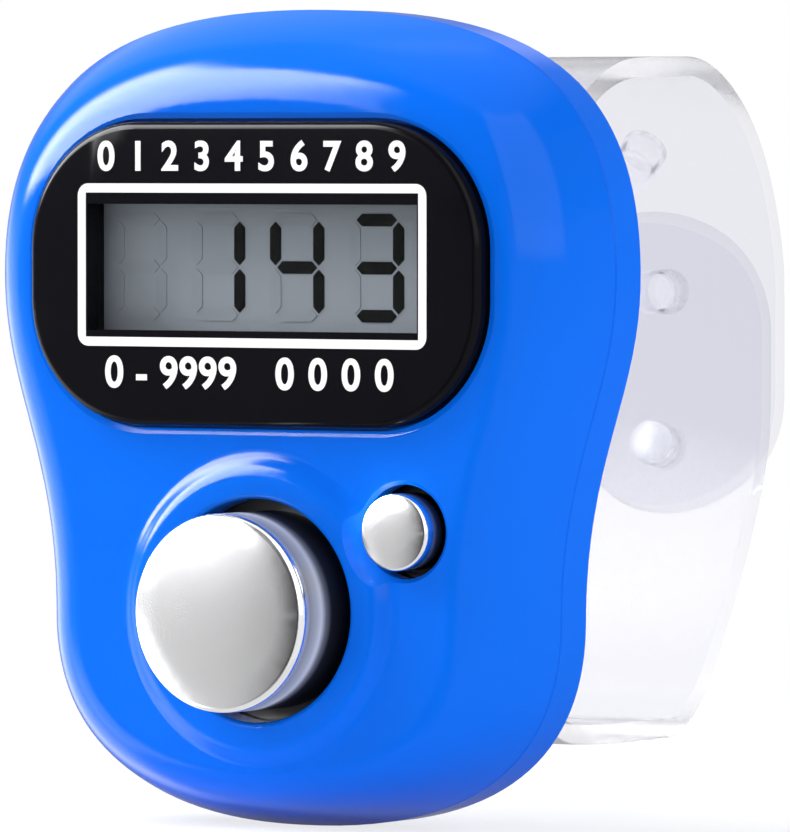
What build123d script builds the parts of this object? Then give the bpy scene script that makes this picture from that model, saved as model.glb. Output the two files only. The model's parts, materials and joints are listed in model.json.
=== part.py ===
from build123d import *
import os
from math import atan2, cos, radians, sin, tan

os.makedirs("parts", exist_ok=True)

# Finger tally counter, in millimetres. The origin is the centre of the finger loop behind the
# body. +Z runs up the display, the face looks along -Y and +X is to its right. Depths are
# measured into the body from the front of the display bezel.

# Gaps
fit_gap = 0.15              # between pieces that are set into each other
touch_gap = 0.05            # between pieces that bear on each other
run_gap = 0.3               # between pieces that move past each other

# Digits, and the display from its view outwards
digit_count = 4
digit_width = 3.1
digit_height = 5.3
digit_pitch = 4.55
digit_left_margin = 0.05    # from the digits to the edges of the view
digit_right_margin = 2.1
digit_margin = 0.45
segment_stroke = 0.62
segment_gap = 0.1
segment_thickness = 0.05
lit_segments = ["abcdg", "bcfg", "bc", ""]     # from the right: 3, 4, 1 and a blank
frame_side = 0.55           # from the view to the outside of the printed frame
frame_above = 0.9
frame_lift = 0.11           # centre of the frame above that of the view
frame_stroke = 0.45
frame_corner = 0.6
print_thickness = 0.04
bezel_side = 2.9            # from the printed frame to the edge of the bezel
bezel_above = 3.04
bezel_below = 3.86
bezel_corner = 6.2
bezel_thickness = 1.5
bezel_rounding = 0.4
lip_width = 0.3             # shallow edge of the recess that the bezel sits in
lip_drop = 0.08
window_thickness = 0.5
window_margin = 0.5
glass_side = 0.55           # from the view to the edges of the glass
glass_above = 1.3
glass_thickness = 0.55
glass_gap = 0.3             # between the bezel and the front glass
crystal_gap = 0.1           # between the two glasses
reflector_thickness = 0.15
holder_wall = 0.6
connector_width = 1.0
connector_inset = 0.1

# Count button
count_height = -9.4
count_radius = 4.85
count_hole_gap = 0.63
count_proud = 3.3           # cap above the front of the bezel
count_crown = 0.25
count_rounding = 0.35
count_travel = 1.0
count_flange_reach = 0.52   # beyond the hole
count_flange_thickness = 0.8
count_wall = 1.0
count_stem_radius = 1.3
count_dome_gap = 0.25       # between the foot of the dome and the inside of the cap
collar_rim = 0.25
collar_flat = 1.0           # from the hole to where the collar starts to fall
collar_slope = 1.55
collar_rise = 0.6

# Reset button
reset_angle = 26            # degrees above the count button's right
flange_gap = 0.42           # between the two buttons' flanges
reset_radius = 1.88
reset_hole_gap = 0.42
reset_proud = 0.2
reset_crown = 0.08
reset_rounding = 0.2
reset_chamfer = 0.2
reset_travel = 0.7
reset_flange_reach = 0.4
reset_flange_thickness = 0.6
reset_stem_radius = 0.9

# Rubber domes
dome_wall = 0.5
dome_foot = 0.5
pill_thickness = 0.3
pill_margin = 0.3
pill_clearance = 0.1        # left over the board when a button is fully pressed

# Case, outwards from the bezel and the buttons
button_gap = 0.97           # between the collar and the bezel
top_border = 5.5            # from the bezel to the top of the case
side_border = 4.5           # from the bezel to the widest place
bottom_border = 2.77        # from the collar to the bottom
chin_border = 3.45          # from the reset button's flange to the side
shoulder_drop = 0.05        # widest place below the middle of the bezel
chin_drop = 0.5             # narrow place below the middle of the count button
top_pull = (0.7, 0.7)       # share of each span over which a curve follows its end tangents
side_pull = (0.35, 0.48)
chin_pull = (0.97, 0.26)
lip_depth = 0.8             # front face of the shell behind the front of the bezel
parting_depth = 5.4
band_width = 2.5            # straight side band of the rear cover
seam_chamfer = 0.15
wall = 1.2
flat_side = 0.5             # flat front between the bezel and the crown
flat_top = 0.8
collar_overhang = 0.43      # of the collar past the flat front at the bottom
crown_start = 45            # degrees round its arc at which the crown leaves the parting line
crown_steps = 5
inside_corner = 0.4         # share of a wall by which its inside draws in further at a corner
back_taper = 4.0
back_rounding = 1.5
back_steps = 4

# Circuit board
board_drop = 0.1            # behind the parting line
board_thickness = 1.0
board_margin = 0.5
chip_gap = 0.8              # between the chip's resin and the count button's flange
chip_lift = 5.8             # above the middle of the count button
chip_radius = 2.0
chip_rise = 0.8
chip_rounding = 0.7
component_size = (1.6, 0.8, 0.6)
component_pitch = 2.2
component_drop = 6.0        # below the upper screws

# Battery, its contacts and its door
cell_radius = 5.8
cell_thickness = 3.1
cell_height = -1.5
cell_edge = 0.3
contact_room = 1.1          # between the board and the battery
contact_thickness = 0.2
contact_width = 3.0
contact_foot = 1.6
tube_wall = 1.0
plug_margin = 0.4           # of the door's plug round the battery
lug_reach = 0.9
lug_thickness = 0.5
lug_width = 3.4
lug_cover = 0.6             # wall that the lugs hook under
door_rim = 0.8              # of the door past its lugs
door_thickness = 0.9
door_turn = 40
ring_wall = 1.1
coin_slot_length = 8.0
coin_slot_width = 1.3
coin_slot_depth = 0.5

# Case screws
upper_screw_x = 8.0
upper_screw_drop = 5.0      # below the top of the case
lower_screw_inset = 4.75    # from the narrow place of the side
lower_screw_lift = 7.6      # above the bottom of the case
boss_radius = 1.7
post_radius = 2.1
screw_radius = 0.75
screw_head_radius = 1.3
screw_head_thickness = 0.9
screw_seat = 3.1            # of the post between the board and the head
screw_tip_room = 0.9        # behind the front wall

# Strap
finger_room = 27.0          # from the back of the case to the inside of the strap
strap_width = 12.6
strap_thickness = 1.0
strap_overlap_gap = 0.45
upper_slot_drop = 8.2       # below the top of the case
lower_slot_margin = 0.8     # of the case below a lower slot as high up as half the strap's width
strap_head_side = 0.6       # of the heads round the strap, inside the case
strap_head_above = 0.4
strap_head_thickness = 1.0
strap_rise = 5.6            # from the upper slot to the top of the loop
strap_fall = 3.4            # from the lower slot to the bottom of the loop
upper_exit_run = 2.5        # from the back of the body to the first bend
upper_climb_run = 9.5
upper_bends = [8, 12, 8]
lower_exit_run = 1.6
lower_fall_run = 4.7
lower_bends = [7, 12, 10]
back_corner_run = 7.1       # of the upper strap's slope above the straight overlap
back_corner_drop = 8.8
back_bend = 7
low_corner_run = 6.8        # of the lower strap's slope below the straight overlap
low_corner_rise = 14.2
low_bend = 9.5
lower_tail = 1.5            # of each strap past the other one's corner
upper_tail = 3.2
peg_count = 3
peg_inset = 3.4             # from the tip of the upper strap to its last peg
peg_pitch = 8.4
peg_radius = 0.95
peg_head_radius = 1.2
peg_head_rise = 0.5

# Display sizes that follow
view_width = (digit_count - 1) * digit_pitch + digit_width + digit_left_margin + digit_right_margin
view_height = digit_height + 2 * digit_margin
digits_right = view_width / 2 - digit_right_margin
frame_width = view_width + 2 * frame_side
frame_height = view_height + 2 * frame_above
bezel_width = frame_width + 2 * bezel_side
bezel_height = frame_height + bezel_above + bezel_below
glass_width = view_width + 2 * glass_side
glass_height = view_height + 2 * glass_above
glass_depth = bezel_thickness + glass_gap
rear_glass_depth = glass_depth + glass_thickness + crystal_gap
reflector_depth = rear_glass_depth + glass_thickness
connector_depth = reflector_depth + reflector_thickness

# Button sizes and places that follow
count_hole_radius = count_radius + count_hole_gap
count_flange_radius = count_hole_radius + count_flange_reach
count_dome_radius = count_radius - count_wall - count_dome_gap
collar_top_radius = count_hole_radius + collar_flat
collar_radius = collar_top_radius + collar_slope
reset_hole_radius = reset_radius + reset_hole_gap
reset_flange_radius = reset_hole_radius + reset_flange_reach
reset_dome_radius = reset_flange_radius - run_gap
reset_reach = count_flange_radius + flange_gap + reset_flange_radius
reset_x = reset_reach * cos(radians(reset_angle))
reset_height = count_height + reset_reach * sin(radians(reset_angle))

# Case sizes and places that follow
bezel_bottom = count_height + collar_radius + button_gap
bezel_height_centre = bezel_bottom + bezel_height / 2
frame_height_centre = bezel_bottom + bezel_below + frame_height / 2
display_height_centre = frame_height_centre - frame_lift
top_reach = bezel_bottom + bezel_height + top_border
bottom_reach = collar_radius - count_height + bottom_border
shoulder_width = bezel_width + 2 * side_border
shoulder_height = bezel_height_centre - shoulder_drop
chin_width = 2 * (reset_x + reset_flange_radius + chin_border)
chin_height = count_height - chin_drop
crown_side = side_border - flat_side
crown_top = top_border - flat_top
crown_bottom = bottom_border + collar_overhang
shell_back = lip_depth + wall
flange_depth = shell_back + run_gap
band_depth = parting_depth + band_width
board_depth = parting_depth + board_drop
board_back = board_depth + board_thickness
chip_x = -(count_flange_radius + chip_gap + chip_radius)
chip_height = count_height + chip_lift
dome_stack = 2 * touch_gap + dome_wall + pill_thickness + pill_clearance
count_stem_end = board_depth - count_travel - dome_stack
reset_stem_end = board_depth - reset_travel - dome_stack

# Battery and door places that follow, from the board to the back of the case
cell_depth = board_back + contact_room
lug_depth = cell_depth + cell_thickness + run_gap
groove_depth = lug_depth - fit_gap
lug_cover_depth = lug_depth + lug_thickness + fit_gap
door_depth = lug_cover_depth + lug_cover + fit_gap
body_depth = door_depth + door_thickness
ring_depth = groove_depth - wall / 2
tube_radius = cell_radius + fit_gap
door_plug_radius = cell_radius + plug_margin
lug_radius = door_plug_radius + lug_reach
door_radius = lug_radius + door_rim
opening_radius = door_plug_radius + fit_gap
groove_radius = lug_radius + fit_gap
recess_radius = door_radius + fit_gap
ring_radius = recess_radius + ring_wall

# Screw places that follow
upper_screw_height = top_reach - upper_screw_drop
lower_screw_x = chin_width / 2 - lower_screw_inset
lower_screw_height = lower_screw_lift - bottom_reach
screw_places = [
    (upper_screw_x, upper_screw_height),
    (-upper_screw_x, upper_screw_height),
    (lower_screw_x, lower_screw_height),
    (-lower_screw_x, lower_screw_height),
]
screw_head_depth = board_back + screw_seat
screw_tip_depth = shell_back + screw_tip_room

# Strap places that follow, with the two straps side by side where they overlap
front_y = -(body_depth + finger_room / 2)
strap_step = strap_thickness + strap_overlap_gap
inner_strap_depth = body_depth + finger_room + strap_thickness / 2
strap_back_depth = inner_strap_depth + strap_step
strap_head_depth = body_depth - wall - fit_gap - strap_head_thickness
strap_head_width = strap_width + 2 * strap_head_side
strap_head_height = strap_thickness + 2 * strap_head_above
upper_slot_height = top_reach - upper_slot_drop
lower_slot_height = strap_width / 2 + lower_slot_margin - bottom_reach
strap_top_height = upper_slot_height + strap_rise
strap_bottom_height = lower_slot_height - strap_fall
back_lean = atan2(back_corner_run, back_corner_drop)
low_lean = atan2(low_corner_run, low_corner_rise)
overlap_top = strap_top_height - back_corner_drop
overlap_bottom = strap_bottom_height + low_corner_rise
lower_strap_top = overlap_top - strap_step * tan(back_lean / 2)
upper_strap_bottom = overlap_bottom - strap_step * tan(low_lean / 2)
lower_tip_height = lower_strap_top + lower_tail
upper_tip_height = upper_strap_bottom - upper_tail
climb_depth = body_depth + upper_exit_run
fall_depth = body_depth + lower_exit_run
upper_points = [
    (strap_head_depth, upper_slot_height),
    (climb_depth, upper_slot_height),
    (climb_depth + upper_climb_run, strap_top_height),
    (strap_back_depth - back_corner_run, strap_top_height),
    (strap_back_depth, overlap_top),
    (strap_back_depth, upper_strap_bottom),
    (strap_back_depth - upper_tail * tan(low_lean), upper_tip_height),
]
lower_points = [
    (strap_head_depth, lower_slot_height),
    (fall_depth, lower_slot_height),
    (fall_depth + lower_fall_run, strap_bottom_height),
    (inner_strap_depth - low_corner_run, strap_bottom_height),
    (inner_strap_depth, overlap_bottom),
    (inner_strap_depth, lower_strap_top),
    (inner_strap_depth - lower_tail * tan(back_lean), lower_tip_height),
]
peg_distances = [peg_inset + row * peg_pitch for row in range(peg_count)]

# A plane seen from the right, for profiles of depth and height
side_view = Plane(origin=(0, front_y, 0), x_dir=(0, 1, 0), z_dir=(1, 0, 0))


def face(depth):
    # A plane that looks at the viewer, with X to the right and Z up
    return Plane.XZ.offset(-(front_y + depth))


def turned(x, height):
    # A plane through an axis that runs into the body, for profiles of radius and depth
    return Plane(origin=(x, front_y, height), x_dir=(1, 0, 0), z_dir=(0, 0, 1))


def axis_at(x, height):
    return Axis((x, front_y, height), (0, 1, 0))


def draw_outline(side, top, bottom):
    # The body's outline, drawn in by these amounts at its sides, top and bottom
    shoulder = shoulder_width / 2 - side
    chin = chin_width / 2 - side
    high = top_reach - top
    low = bottom - bottom_reach
    upper_span = high - shoulder_height
    side_span = shoulder_height - chin_height
    lower_span = chin_height - low
    with BuildLine() as outline:
        Bezier(
            (0, high),
            (top_pull[0] * shoulder, high),
            (shoulder, shoulder_height + top_pull[1] * upper_span),
            (shoulder, shoulder_height),
        )
        Bezier(
            (shoulder, shoulder_height),
            (shoulder, shoulder_height - side_pull[0] * side_span),
            (chin, chin_height + side_pull[1] * side_span),
            (chin, chin_height),
        )
        Bezier(
            (chin, chin_height),
            (chin, chin_height - chin_pull[0] * lower_span),
            (chin_pull[1] * chin, low),
            (0, low),
        )
        mirror(about=Plane.YZ)
    make_face(outline.edges())


def crown_sections(inset):
    # Depth and drawn-in amounts of the crown from the parting line forward, for a wall's inside too
    start = radians(crown_start)
    rise = parting_depth - lip_depth - inset
    sections = []
    for step in range(crown_steps):
        angle = start + (radians(90) - start) * step / (crown_steps - 1)
        drawn = 1 - cos(angle) / cos(start)
        raised = (sin(angle) - sin(start)) / (1 - sin(start))
        insets = [
            inset + (reach - inset * (1 - inside_corner)) * drawn
            for reach in (crown_side, crown_top, crown_bottom)
        ]
        sections.append((parting_depth - rise * raised, insets))
    return sections


def back_edge_sections():
    # Depth and drawn-in amount of the rounded edge from the tapered sides to the flat back
    turn = atan2(body_depth - band_depth, back_taper)
    flat = back_taper + back_rounding * tan(turn / 2)
    sections = []
    for step in range(back_steps):
        angle = turn * (1 - step / (back_steps - 1))
        depth = body_depth - back_rounding * (1 - cos(angle))
        sections.append((depth, flat - back_rounding * sin(angle)))
    return sections


def draw_bezel(grown):
    # The bezel's outline, made larger all round by this amount
    with Locations((0, bezel_height_centre)):
        RectangleRounded(bezel_width + 2 * grown, bezel_height + 2 * grown, bezel_corner + grown)


def draw_segment(name):
    # One bar of a seven-bar digit about the digit's centre, with pointed ends
    half_width = (digit_width - segment_stroke) / 2
    half_height = (digit_height - segment_stroke) / 2
    tip = segment_stroke / 2
    places = {
        "a": (0, half_height, half_width, 0),
        "g": (0, 0, half_width, 0),
        "d": (0, -half_height, half_width, 0),
        "b": (half_width, half_height / 2, half_height / 2, 90),
        "c": (half_width, -half_height / 2, half_height / 2, 90),
        "e": (-half_width, -half_height / 2, half_height / 2, 90),
        "f": (-half_width, half_height / 2, half_height / 2, 90),
    }
    x, y, reach, turn = places[name]
    end = reach - segment_gap
    bar = [
        (-end, 0),
        (tip - end, tip),
        (end - tip, tip),
        (end, 0),
        (end - tip, -tip),
        (tip - end, -tip),
    ]
    with Locations((x, y)):
        Polygon(*bar, rotation=turn)


def draw_digits(lit):
    for place in range(digit_count):
        centre = digits_right - digit_width / 2 - place * digit_pitch
        with Locations((centre, display_height_centre)):
            for name in "abcdefg":
                if (name in lit_segments[place]) == lit:
                    draw_segment(name)


def draw_dome(top, foot_radius, cap_radius):
    # A rubber dome from its flat cap down to a ring on the board
    with BuildLine() as profile:
        Polyline(
            (0, top),
            (cap_radius, top),
            (foot_radius - dome_foot, board_depth - dome_foot),
            (foot_radius, board_depth - dome_foot),
            (foot_radius, board_depth),
            (foot_radius - dome_foot - dome_wall, board_depth),
            (cap_radius - dome_wall / 2, top + dome_wall),
            (0, top + dome_wall),
            close=True,
        )
    make_face(profile.edges())


def strap_path(points, bends):
    # Runs joined by arcs, as far as the runs have room for them
    runs = [Vector(*after) - Vector(*before) for before, after in zip(points, points[1:])]
    reaches = [0]
    for bend, run, following in zip(bends, runs, runs[1:]):
        reaches.append(bend * tan(radians(run.get_angle(following)) / 2))
    reaches.append(0)
    shares = [
        min(1, run.length / (start + end + touch_gap))
        for run, start, end in zip(runs, reaches, reaches[1:])
    ]
    radii = [bend * min(before, after) for bend, before, after in zip(bends, shares, shares[1:])]
    with BuildLine() as path:
        FilletPolyline(*points, radius=radii)
    return Wire(path.edges())


def peg_plane(distance):
    # Looks into the loop from the inner face of the upper strap, this far from its tip
    along = upper_path.length - distance
    place = upper_path.position_at(along, position_mode=PositionMode.LENGTH)
    heading = upper_path.tangent_at(along, position_mode=PositionMode.LENGTH)
    middle = Plane(
        origin=(0, front_y + place.X, place.Y), x_dir=(1, 0, 0), z_dir=(0, heading.Y, -heading.X)
    )
    return middle.offset(strap_thickness / 2)


def save(piece, name):
    piece.part.label = name
    export_step(piece.part, "parts/" + name + ".step")


# Front shell: crowned, with a collar round the count button and four screw bosses
with BuildPart() as front_hollow:
    for depth, insets in crown_sections(wall):
        with BuildSketch(face(depth)):
            draw_outline(*insets)
    loft()
    with BuildSketch(face(parting_depth)):
        with Locations(*screw_places):
            Circle(boss_radius)
    extrude(amount=parting_depth, mode=Mode.SUBTRACT)

# Recess for the bezel, with a shallow edge where it meets the front of the shell
with BuildPart() as bezel_recess:
    with BuildSketch(face(bezel_thickness)):
        draw_bezel(fit_gap)
    extrude(amount=bezel_thickness)
    for side in (-1, 1):
        with BuildSketch(face(lip_depth - side * lip_drop)):
            draw_bezel(fit_gap + (1 + side) * lip_width)
    loft(ruled=True)

with BuildPart() as front_shell:
    for depth, insets in crown_sections(0):
        with BuildSketch(face(depth)):
            draw_outline(*insets)
    loft()
    add(front_hollow.part, mode=Mode.SUBTRACT)
    add(bezel_recess.part, mode=Mode.SUBTRACT)
    with BuildSketch(face(parting_depth)):
        with Locations((0, display_height_centre)):
            Rectangle(glass_width + 2 * run_gap, glass_height + 2 * run_gap)
    extrude(amount=parting_depth, mode=Mode.SUBTRACT)
    with BuildSketch(face(parting_depth)):
        with Locations((0, count_height)):
            Circle(count_hole_radius)
    extrude(amount=parting_depth, mode=Mode.SUBTRACT)
    with BuildSketch(turned(0, count_height)):
        with BuildLine():
            Polyline(
                (count_hole_radius, lip_depth - collar_rise + collar_rim),
                (count_hole_radius, lip_depth + wall / 2),
                (collar_radius, lip_depth + wall / 2),
                (collar_radius, lip_depth),
            )
            half_run = (collar_radius - collar_top_radius) / 2
            Bezier(
                (collar_radius, lip_depth),
                (collar_radius - half_run, lip_depth),
                (collar_top_radius + half_run, lip_depth - collar_rise),
                (collar_top_radius, lip_depth - collar_rise),
            )
            Line(
                (collar_top_radius, lip_depth - collar_rise),
                (count_hole_radius + collar_rim, lip_depth - collar_rise),
            )
            RadiusArc(
                (count_hole_radius + collar_rim, lip_depth - collar_rise),
                (count_hole_radius, lip_depth - collar_rise + collar_rim),
                collar_rim,
            )
        make_face()
    revolve(axis=axis_at(0, count_height))
    with BuildSketch(turned(reset_x, reset_height)):
        with BuildLine():
            Polyline(
                (0, parting_depth),
                (reset_hole_radius, parting_depth),
                (reset_hole_radius, lip_depth + reset_chamfer),
                (reset_hole_radius + lip_depth + reset_chamfer, 0),
                (0, 0),
                close=True,
            )
        make_face()
    revolve(axis=axis_at(reset_x, reset_height), mode=Mode.SUBTRACT)
    # The bosses reach the board, and each takes a screw
    with BuildSketch(face(board_depth)):
        with Locations(*screw_places):
            Circle(boss_radius)
    extrude(amount=board_depth - parting_depth)
    with BuildSketch(face(board_depth)):
        with Locations(*screw_places):
            Circle(screw_radius + touch_gap)
    extrude(amount=board_depth - screw_tip_depth + fit_gap, mode=Mode.SUBTRACT)
save(front_shell, "front_shell")

# Rear cover: side band, tapered back, screw posts, battery tube and bayonet ring
with BuildPart() as rear_hollow:
    hollow_end = (body_depth - wall, back_taper + wall * inside_corner)
    for depth, drawn in [(parting_depth, wall), (band_depth, wall), hollow_end]:
        with BuildSketch(face(depth)):
            draw_outline(drawn, drawn, drawn)
    loft(ruled=True)
    with BuildSketch(face(body_depth)):
        with Locations(*screw_places):
            Circle(post_radius)
    extrude(amount=body_depth - board_back, mode=Mode.SUBTRACT)
    with BuildSketch(face(body_depth)):
        with Locations((0, cell_height)):
            Circle(ring_radius)
    extrude(amount=body_depth - ring_depth, mode=Mode.SUBTRACT)
    with BuildSketch(face(body_depth)):
        with Locations((0, cell_height)):
            Circle(tube_radius + tube_wall)
    extrude(amount=body_depth - cell_depth, mode=Mode.SUBTRACT)

with BuildPart() as rear_cover:
    seam = [(parting_depth, seam_chamfer), (parting_depth + seam_chamfer, 0)]
    for depth, drawn in seam + [(band_depth, 0), back_edge_sections()[0]]:
        with BuildSketch(face(depth)):
            draw_outline(drawn, drawn, drawn)
    loft(ruled=True)
    for depth, drawn in back_edge_sections():
        with BuildSketch(face(depth)):
            draw_outline(drawn, drawn, drawn)
    loft()
    add(rear_hollow.part, mode=Mode.SUBTRACT)
    with BuildSketch(turned(0, cell_height)):
        with BuildLine():
            Polyline(
                (0, parting_depth),
                (tube_radius, parting_depth),
                (tube_radius, ring_depth),
                (opening_radius, ring_depth),
                (opening_radius, groove_depth),
                (groove_radius, groove_depth),
                (groove_radius, lug_cover_depth),
                (opening_radius, lug_cover_depth),
                (opening_radius, door_depth - fit_gap),
                (recess_radius, door_depth - fit_gap),
                (recess_radius, body_depth + wall),
                (0, body_depth + wall),
                close=True,
            )
        make_face()
    revolve(axis=axis_at(0, cell_height), mode=Mode.SUBTRACT)
    # Two notches let the door's lugs through once the door is turned
    with BuildSketch(face(door_depth)):
        with Locations((0, cell_height)):
            Rectangle(2 * groove_radius + fit_gap, lug_width + 2 * run_gap, rotation=-door_turn)
    extrude(amount=door_depth - lug_cover_depth, mode=Mode.SUBTRACT)
    # Holes for the screws, with recesses for their heads
    with BuildSketch(face(body_depth + wall)):
        with Locations(*screw_places):
            Circle(screw_radius + fit_gap)
    extrude(amount=body_depth + wall - board_back, mode=Mode.SUBTRACT)
    with BuildSketch(face(body_depth + wall)):
        with Locations(*screw_places):
            Circle(screw_head_radius + fit_gap)
    extrude(amount=body_depth + wall - screw_head_depth, mode=Mode.SUBTRACT)
    # A gap in the battery tube for the side contact
    with BuildSketch(face(ring_depth)):
        with Locations((tube_radius, cell_height)):
            Rectangle(4 * tube_wall, contact_width + 2 * run_gap)
    extrude(amount=ring_depth - board_back, mode=Mode.SUBTRACT)
    # Slots for the two ends of the strap
    with BuildSketch(face(body_depth + wall)):
        with Locations((0, upper_slot_height), (0, lower_slot_height)):
            Rectangle(strap_width + 2 * fit_gap, strap_thickness + 2 * fit_gap)
    extrude(amount=3 * wall, mode=Mode.SUBTRACT)
save(rear_cover, "rear_cover")

# Display bezel: raised plate with the display opening, and a rebate behind it for the window
with BuildPart() as display_bezel:
    with BuildSketch(face(bezel_thickness)):
        draw_bezel(0)
    extrude(amount=bezel_thickness)
    fillet(display_bezel.edges().group_by(Axis.Y)[0], radius=bezel_rounding)
    with BuildSketch(face(bezel_thickness)):
        with Locations((0, display_height_centre)):
            Rectangle(view_width, view_height)
    extrude(amount=bezel_thickness, mode=Mode.SUBTRACT)
    with BuildSketch(face(bezel_thickness)):
        with Locations((0, display_height_centre)):
            Rectangle(
                view_width + 2 * (window_margin + fit_gap), view_height + 2 * (window_margin + fit_gap)
            )
    extrude(amount=window_thickness, mode=Mode.SUBTRACT)
save(display_bezel, "display_bezel")

# White frame printed on the bezel
with BuildPart() as printed_frame:
    with BuildSketch(face(0)):
        with Locations((0, frame_height_centre)):
            RectangleRounded(frame_width, frame_height, frame_corner)
            Rectangle(
                frame_width - 2 * frame_stroke, frame_height - 2 * frame_stroke, mode=Mode.SUBTRACT
            )
    extrude(amount=print_thickness)
save(printed_frame, "printed_frame")

# Clear window in the back of the bezel
with BuildPart() as display_window:
    with BuildSketch(face(bezel_thickness)):
        with Locations((0, display_height_centre)):
            Rectangle(view_width + 2 * window_margin, view_height + 2 * window_margin)
    extrude(amount=window_thickness)
save(display_window, "display_window")

# Display glasses, the segments between them and the reflector behind
with BuildPart() as lcd_front_glass:
    with BuildSketch(face(glass_depth + glass_thickness)):
        with Locations((0, display_height_centre)):
            Rectangle(glass_width, glass_height)
    extrude(amount=glass_thickness)
save(lcd_front_glass, "lcd_front_glass")

with BuildPart() as lcd_rear_glass:
    with BuildSketch(face(rear_glass_depth + glass_thickness)):
        with Locations((0, display_height_centre)):
            Rectangle(glass_width, glass_height)
    extrude(amount=glass_thickness)
save(lcd_rear_glass, "lcd_rear_glass")

with BuildPart() as lcd_lit_segments:
    with BuildSketch(face(rear_glass_depth)):
        draw_digits(True)
    extrude(amount=segment_thickness)
save(lcd_lit_segments, "lcd_lit_segments")

with BuildPart() as lcd_idle_segments:
    with BuildSketch(face(rear_glass_depth)):
        draw_digits(False)
    extrude(amount=segment_thickness)
save(lcd_idle_segments, "lcd_idle_segments")

with BuildPart() as lcd_reflector:
    with BuildSketch(face(connector_depth)):
        with Locations((0, display_height_centre)):
            Rectangle(glass_width, glass_height - 2 * (connector_inset + connector_width))
    extrude(amount=reflector_thickness)
save(lcd_reflector, "lcd_reflector")

# Frame that holds the glasses between the shell and the board
with BuildPart() as lcd_holder:
    with BuildSketch(face(board_depth)):
        with Locations((0, display_height_centre)):
            inner_width = glass_width + 2 * fit_gap
            inner_height = glass_height + 2 * fit_gap
            Rectangle(inner_width + 2 * holder_wall, inner_height + 2 * holder_wall)
            Rectangle(inner_width, inner_height, mode=Mode.SUBTRACT)
    extrude(amount=board_depth - shell_back)
save(lcd_holder, "lcd_holder")

# Striped rubber connectors between the rear glass and the board
with BuildPart() as elastomer_connectors:
    with BuildSketch(face(board_depth)):
        row = glass_height / 2 - connector_inset - connector_width / 2
        with Locations((0, display_height_centre + row), (0, display_height_centre - row)):
            Rectangle(glass_width - 2 * connector_inset, connector_width)
    extrude(amount=board_depth - reflector_depth)
save(elastomer_connectors, "elastomer_connectors")

# Circuit board with holes for the case screws
with BuildPart() as circuit_board:
    with BuildSketch(face(board_back)):
        drawn = wall + board_margin
        draw_outline(drawn, drawn, drawn)
        with Locations(*screw_places):
            Circle(screw_radius + fit_gap, mode=Mode.SUBTRACT)
    extrude(amount=board_thickness)
save(circuit_board, "circuit_board")

# Resin blob over the chip
with BuildPart() as chip_blob:
    with BuildSketch(face(board_depth)):
        with Locations((chip_x, chip_height)):
            Circle(chip_radius)
    extrude(amount=chip_rise)
    fillet(chip_blob.edges().group_by(Axis.Y)[0], radius=chip_rounding)
save(chip_blob, "chip_blob")

# Chip resistors and capacitors on the back of the board
with BuildPart() as board_components:
    with BuildSketch(face(board_back)):
        with Locations((-upper_screw_x, upper_screw_height - component_drop)):
            with GridLocations(0, component_pitch, 1, 3):
                Rectangle(component_size[0], component_size[1])
    extrude(amount=-component_size[2])
save(board_components, "board_components")

# Count button: hollow chrome cap with a flange behind the shell and a stem in its middle
with BuildPart() as count_button:
    flange_end = flange_depth + count_flange_thickness
    with BuildSketch(turned(0, count_height)):
        with BuildLine():
            TangentArc((0, -count_proud), (count_radius, count_crown - count_proud), tangent=(1, 0))
            Polyline(
                (count_radius, count_crown - count_proud),
                (count_radius, flange_depth),
                (count_flange_radius, flange_depth),
                (count_flange_radius, flange_end),
                (count_radius - count_wall, flange_end),
                (count_radius - count_wall, count_wall - count_proud),
                (count_stem_radius, count_wall - count_proud),
                (count_stem_radius, count_stem_end),
                (0, count_stem_end),
                (0, -count_proud),
            )
        make_face()
    revolve(axis=axis_at(0, count_height))
    rim = count_button.edges().filter_by(lambda edge: edge.is_closed).group_by(Axis.Y)[0]
    fillet(rim, radius=count_rounding)
save(count_button, "count_button")

# Reset button: solid chrome cap with a flange and a stem
with BuildPart() as reset_button:
    flange_end = flange_depth + reset_flange_thickness
    with BuildSketch(turned(reset_x, reset_height)):
        with BuildLine():
            TangentArc((0, -reset_proud), (reset_radius, reset_crown - reset_proud), tangent=(1, 0))
            Polyline(
                (reset_radius, reset_crown - reset_proud),
                (reset_radius, flange_depth),
                (reset_flange_radius, flange_depth),
                (reset_flange_radius, flange_end),
                (reset_stem_radius, flange_end),
                (reset_stem_radius, reset_stem_end),
                (0, reset_stem_end),
                (0, -reset_proud),
            )
        make_face()
    revolve(axis=axis_at(reset_x, reset_height))
    rim = reset_button.edges().filter_by(lambda edge: edge.is_closed).group_by(Axis.Y)[0]
    fillet(rim, radius=reset_rounding)
save(reset_button, "reset_button")

# Rubber return domes and their contact pills
with BuildPart() as count_dome:
    with BuildSketch(turned(0, count_height)):
        draw_dome(count_stem_end + touch_gap, count_dome_radius, count_stem_radius + dome_wall)
    revolve(axis=axis_at(0, count_height))
save(count_dome, "count_dome")

with BuildPart() as count_pill:
    with BuildSketch(face(board_depth - count_travel - pill_clearance)):
        with Locations((0, count_height)):
            Circle(count_stem_radius + dome_wall / 2 - pill_margin)
    extrude(amount=pill_thickness)
save(count_pill, "count_pill")

with BuildPart() as reset_dome:
    with BuildSketch(turned(reset_x, reset_height)):
        draw_dome(reset_stem_end + touch_gap, reset_dome_radius, reset_stem_radius + dome_wall)
    revolve(axis=axis_at(reset_x, reset_height))
save(reset_dome, "reset_dome")

with BuildPart() as reset_pill:
    with BuildSketch(face(board_depth - reset_travel - pill_clearance)):
        with Locations((reset_x, reset_height)):
            Circle(reset_stem_radius + dome_wall / 2 - pill_margin)
    extrude(amount=pill_thickness)
save(reset_pill, "reset_pill")

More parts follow.
